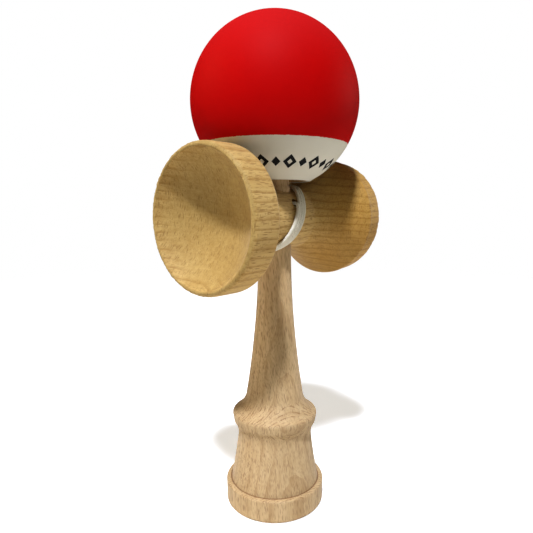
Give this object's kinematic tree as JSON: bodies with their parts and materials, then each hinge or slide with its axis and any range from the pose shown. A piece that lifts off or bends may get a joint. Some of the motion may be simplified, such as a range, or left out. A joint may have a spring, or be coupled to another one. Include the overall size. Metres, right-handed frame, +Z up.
{
  "type": "kendama",
  "caption": "Wooden cup-and-ball toy: a turned handle with a spike, a cross-piece with a cup at each end, and a drilled ball on a string.",
  "frame": {"origin": "centre of the rim round the base cup, on the surface that the toy stands on", "axes": "+Z up along the handle and the spike; the big cup opens towards -X and the small cup towards +X; the string's hole in the cross-piece faces -Y"},
  "size_m": [0.0761, 0.0613, 0.1824],
  "materials": {
    "ken_wood": "bare beech, sanded",
    "cross_wood": "bare beech, sanded",
    "ball_paint": "beech with matte soft-touch paint",
    "bead_wood": "bare beech",
    "cord": "braided string"
  },
  "bodies": {
    "handle": {"ken": "ken_wood", "sarado": "cross_wood", "ken_knot": "cord", "string_lead": "cord", "string_winding": "cord"},
    "string_end": {"bead": "bead_wood", "bead_knot": "cord", "string_riser": "cord"},
    "ball": {"tama": "ball_paint"}
  },
  "joints": [
    {"name": "tama_lift", "type": "slide", "parent": "handle", "child": "string_end", "axis": [0, 0, 1], "range_m": [0, 0.045]},
    {"name": "tama_spin", "type": "hinge", "parent": "string_end", "child": "ball", "pos_m": [0, 0, 0.1508], "axis": [0, 0, 1], "continuous": true}
  ]
}
